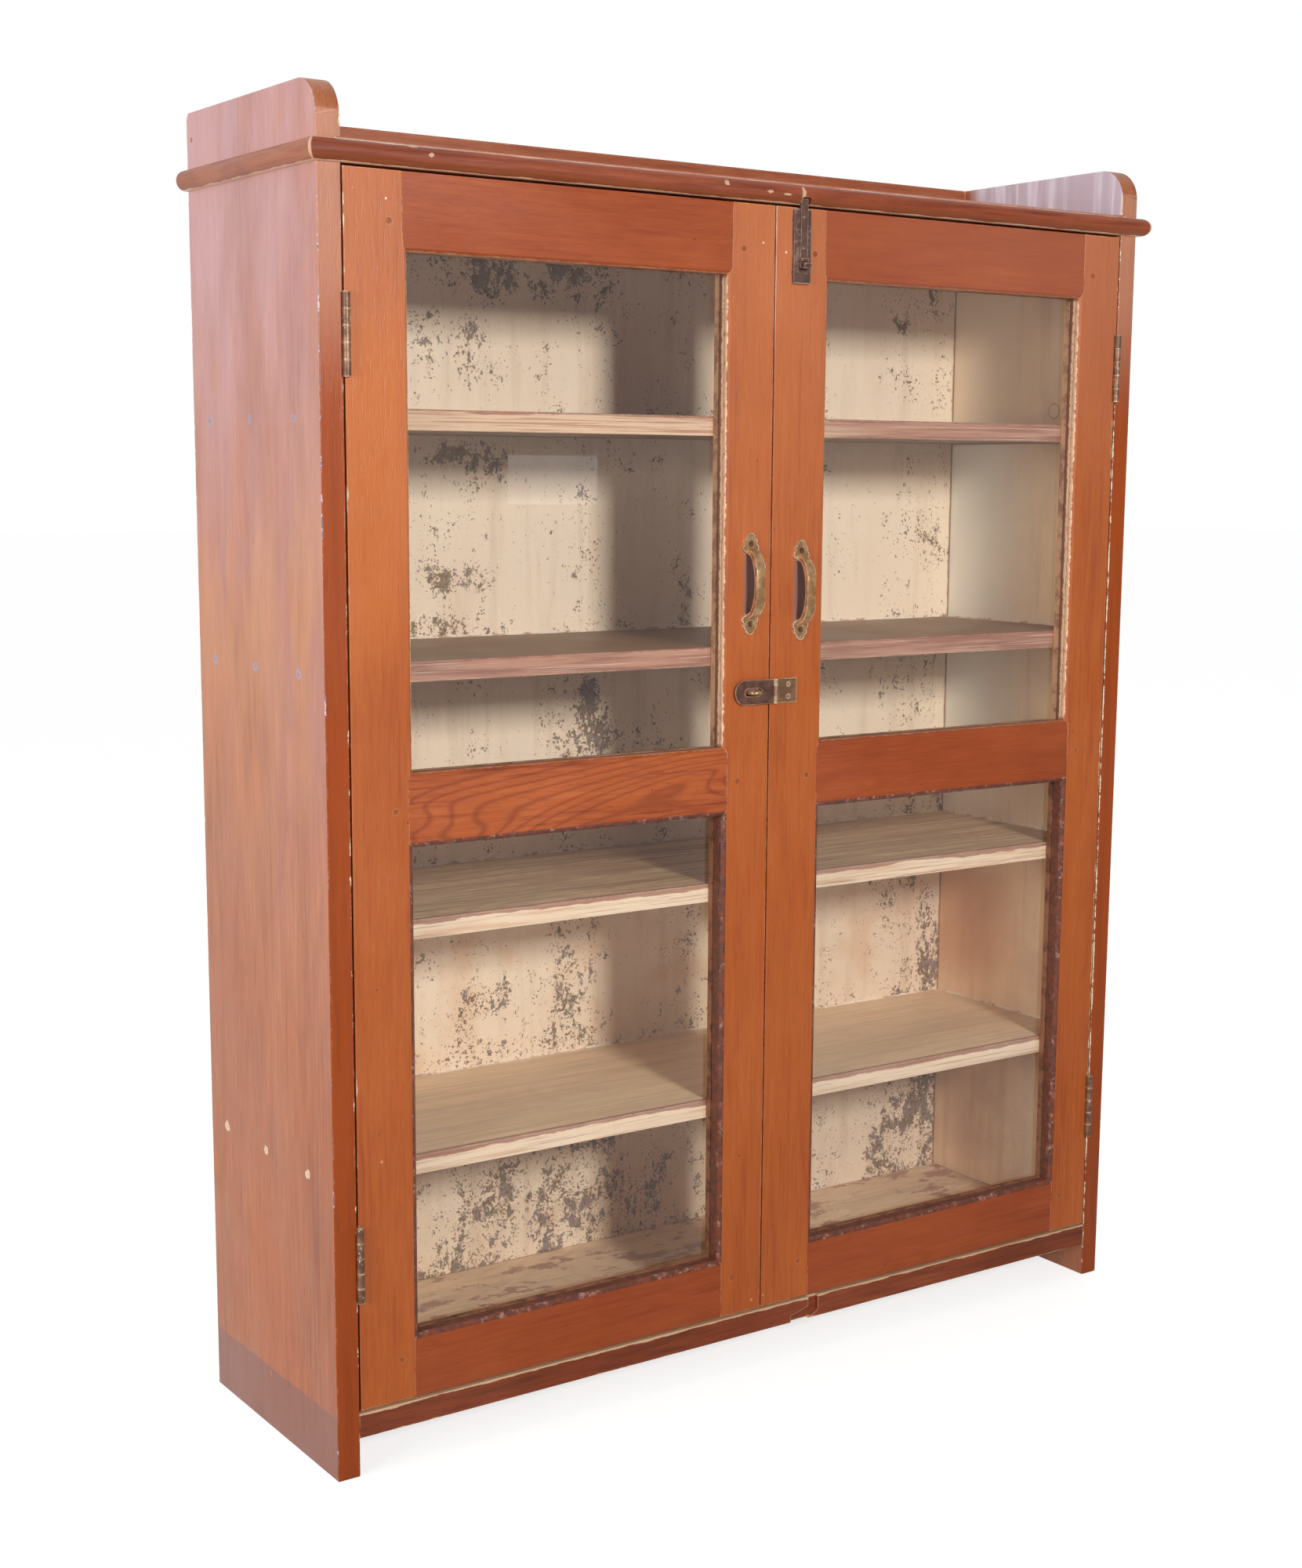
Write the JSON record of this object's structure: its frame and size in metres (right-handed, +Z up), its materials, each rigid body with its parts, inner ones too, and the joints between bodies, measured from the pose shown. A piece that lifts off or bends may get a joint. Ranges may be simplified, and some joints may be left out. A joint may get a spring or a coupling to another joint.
{
  "type": "display cabinet",
  "caption": "Free-standing display cabinet with glazed doors, housed shelves, a gallery top, butt hinges, a hasp and staple and a slide bolt.",
  "frame": {"origin": "middle of the whole object's footprint, on the floor, doors shut", "axes": "+Z up, +X to the right seen from the front, the doors face -Y"},
  "size_m": [1.065, 0.31, 1.325],
  "materials": {
    "case_wood": "worn varnish",
    "trim_wood": "worn varnish",
    "door_wood": "worn varnish",
    "shelf_wood": "worn paint",
    "back_wood": "worn paint",
    "bead_wood": "worn paint",
    "peg_wood": "worn varnish",
    "glass": "clear",
    "brass": "aged",
    "brass_screws": "aged",
    "hinge_metal": "aged",
    "lock_metal": "aged",
    "nails": "aged"
  },
  "bodies": {
    "carcass": {"left_side": "case_wood", "right_side": "case_wood", "top_board": "case_wood", "back_rail": "case_wood", "front_moulding": "trim_wood", "left_moulding": "trim_wood", "right_moulding": "trim_wood", "plinth_rail": "trim_wood", "bottom_board": "shelf_wood", "shelf_1": "shelf_wood", "shelf_2": "shelf_wood", "shelf_3": "shelf_wood", "shelf_4": "shelf_wood", "back_board_1": "back_wood", "back_board_2": "back_wood", "back_board_3": "back_wood", "back_board_4": "back_wood", "back_board_5": "back_wood", "side_nails": "nails", "back_nails": "nails", "side_hinge_leaves": "hinge_metal", "hinge_pins": "hinge_metal", "side_hinge_screws": "hinge_metal"},
    "left_door": {"left_hinge_stile": "door_wood", "left_meeting_stile": "door_wood", "left_top_rail": "door_wood", "left_mid_rail": "door_wood", "left_bottom_rail": "door_wood", "left_upper_glass": "glass", "left_lower_glass": "glass", "left_glazing_beads": "bead_wood", "left_pegs": "peg_wood", "left_handle": "brass", "left_handle_screws": "brass_screws", "left_door_hinge_leaves": "hinge_metal", "left_door_hinge_screws": "hinge_metal", "hasp_staple": "brass"},
    "right_door": {"right_hinge_stile": "door_wood", "right_meeting_stile": "door_wood", "right_top_rail": "door_wood", "right_mid_rail": "door_wood", "right_bottom_rail": "door_wood", "right_upper_glass": "glass", "right_lower_glass": "glass", "right_glazing_beads": "bead_wood", "right_pegs": "peg_wood", "right_handle": "brass", "right_handle_screws": "brass_screws", "right_door_hinge_leaves": "hinge_metal", "right_door_hinge_screws": "hinge_metal", "hasp_leaf": "lock_metal", "hasp_pin": "lock_metal", "hasp_screws": "lock_metal", "bolt_plate": "lock_metal"},
    "strap": {"hasp_strap": "lock_metal"},
    "bolt": {"bolt_bar": "lock_metal", "bolt_rivets": "lock_metal"}
  },
  "joints": [
    {"name": "left_door_hinge", "type": "hinge", "parent": "carcass", "child": "left_door", "pos_m": [-0.4939, -0.1365, 0.658], "axis": [0, 0, -1], "range_deg": [0, 170]},
    {"name": "right_door_hinge", "type": "hinge", "parent": "carcass", "child": "right_door", "pos_m": [0.4939, -0.1365, 0.658], "axis": [0, 0, 1], "range_deg": [0, 170]},
    {"name": "hasp_swing", "type": "hinge", "parent": "right_door", "child": "strap", "pos_m": [0.0024, -0.1361, 0.75], "axis": [0, 0, 1], "range_deg": [0, 175]},
    {"name": "bolt_slide", "type": "slide", "parent": "right_door", "child": "bolt", "axis": [0, 0, 1], "range_m": [-0.01, 0.004]}
  ]
}
